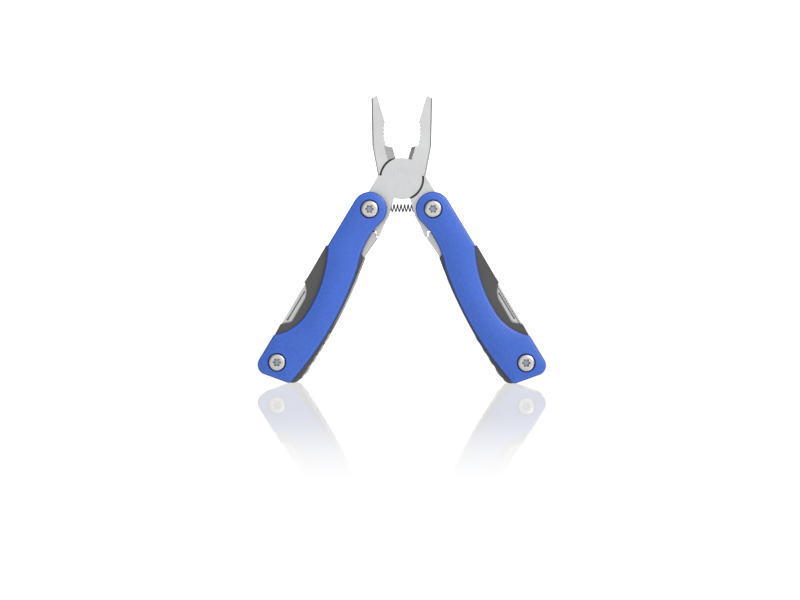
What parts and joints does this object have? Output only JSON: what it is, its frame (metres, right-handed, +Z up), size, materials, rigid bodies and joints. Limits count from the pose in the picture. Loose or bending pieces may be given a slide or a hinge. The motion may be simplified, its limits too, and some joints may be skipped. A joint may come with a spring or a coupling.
{
  "type": "folding plier multi-tool",
  "caption": "Small folding multi-tool with sprung combination pliers, blue scales on dark liners, and folding steel tools in both handles.",
  "frame": {"origin": "middle of the bounding box's underside, on the surface that the open tool stands on by its handle ends", "axes": "+Z up from the handle ends to the jaw tips, +X towards the handle that holds the file, +Y towards the back, through the thickness"},
  "size_m": [0.0946, 0.014, 0.0946],
  "materials": {
    "head_steel": "fine brushed, satin",
    "tool_steel": "ground, satin",
    "spring_steel": "satin",
    "coil_steel": "drawn wire, oiled",
    "screw_steel": "bright satin",
    "blue_scale": "satin blue, faint grain",
    "dark_liner": "dark grey oxide, satin"
  },
  "bodies": {
    "pivot_rivet": {"plier_pivot_rivet": "head_steel"},
    "rear_plier": {"plier_half_rear": "head_steel", "plier_spring": "coil_steel"},
    "front_plier": {"plier_half_front": "head_steel"},
    "left_handle": {"left_front_scale": "blue_scale", "left_rear_scale": "blue_scale", "left_front_liner": "dark_liner", "left_rear_liner": "dark_liner", "left_back_spring": "spring_steel", "left_head_pivot_barrel": "screw_steel", "left_head_pivot_screws": "screw_steel", "left_tang_washers": "tool_steel", "left_tool_axle_barrel": "screw_steel", "left_tool_axle_screws": "screw_steel", "left_tool_washers": "tool_steel"},
    "right_handle": {"right_front_scale": "blue_scale", "right_rear_scale": "blue_scale", "right_front_liner": "dark_liner", "right_rear_liner": "dark_liner", "right_back_spring": "spring_steel", "right_head_pivot_barrel": "screw_steel", "right_head_pivot_screws": "screw_steel", "right_tang_washers": "tool_steel", "right_tool_axle_barrel": "screw_steel", "right_tool_axle_screws": "screw_steel", "right_tool_washers": "tool_steel"},
    "knife_blade": {"knife_blade": "tool_steel"},
    "cross_driver": {"cross_driver": "tool_steel"},
    "small_screwdriver": {"small_screwdriver": "tool_steel"},
    "bottle_opener": {"bottle_opener": "tool_steel"},
    "file": {"file": "tool_steel"},
    "awl": {"awl": "tool_steel"},
    "large_screwdriver": {"large_screwdriver": "tool_steel"},
    "can_opener": {"can_opener": "tool_steel"}
  },
  "joints": [
    {"name": "jaw_squeeze", "type": "hinge", "parent": "pivot_rivet", "child": "front_plier", "pos_m": [0, 0, 0.0672], "axis": [0, 1, 0], "range_deg": [-33, 0], "stiffness_Nm_per_rad": 0.1, "springref_deg": 28.65, "deforming": ["plier_spring"]},
    {"name": "jaw_fold_close", "type": "hinge", "parent": "pivot_rivet", "child": "rear_plier", "pos_m": [0, 0, 0.0672], "axis": [0, 1, 0], "range_deg": [0, 33]},
    {"name": "left_handle_fold", "type": "hinge", "parent": "front_plier", "child": "left_handle", "pos_m": [-0.01038, 0, 0.057], "axis": [0, 1, 0], "range_deg": [0, 165]},
    {"name": "right_handle_fold", "type": "hinge", "parent": "rear_plier", "child": "right_handle", "pos_m": [0.01038, 0, 0.057], "axis": [0, -1, 0], "range_deg": [0, 165]},
    {"name": "knife_blade_swing", "type": "hinge", "parent": "left_handle", "child": "knife_blade", "pos_m": [-0.04079, 0, 0.00679], "axis": [0, -1, 0], "range_deg": [0, 180]},
    {"name": "cross_driver_swing", "type": "hinge", "parent": "left_handle", "child": "cross_driver", "pos_m": [-0.04079, 0, 0.00679], "axis": [0, -1, 0], "range_deg": [0, 180]},
    {"name": "small_screwdriver_swing", "type": "hinge", "parent": "left_handle", "child": "small_screwdriver", "pos_m": [-0.04079, 0, 0.00679], "axis": [0, -1, 0], "range_deg": [0, 180]},
    {"name": "bottle_opener_swing", "type": "hinge", "parent": "left_handle", "child": "bottle_opener", "pos_m": [-0.04079, 0, 0.00679], "axis": [0, -1, 0], "range_deg": [0, 180]},
    {"name": "file_swing", "type": "hinge", "parent": "right_handle", "child": "file", "pos_m": [0.04079, 0, 0.00679], "axis": [0, 1, 0], "range_deg": [0, 180]},
    {"name": "awl_swing", "type": "hinge", "parent": "right_handle", "child": "awl", "pos_m": [0.04079, 0, 0.00679], "axis": [0, 1, 0], "range_deg": [0, 180]},
    {"name": "large_screwdriver_swing", "type": "hinge", "parent": "right_handle", "child": "large_screwdriver", "pos_m": [0.04079, 0, 0.00679], "axis": [0, 1, 0], "range_deg": [0, 180]},
    {"name": "can_opener_swing", "type": "hinge", "parent": "right_handle", "child": "can_opener", "pos_m": [0.04079, 0, 0.00679], "axis": [0, 1, 0], "range_deg": [0, 180]}
  ],
  "couplings": [
    {"joint": "jaw_fold_close", "follows": "left_handle_fold", "ratio": 0.2},
    {"joint": "right_handle_fold", "follows": "left_handle_fold", "ratio": 1}
  ]
}
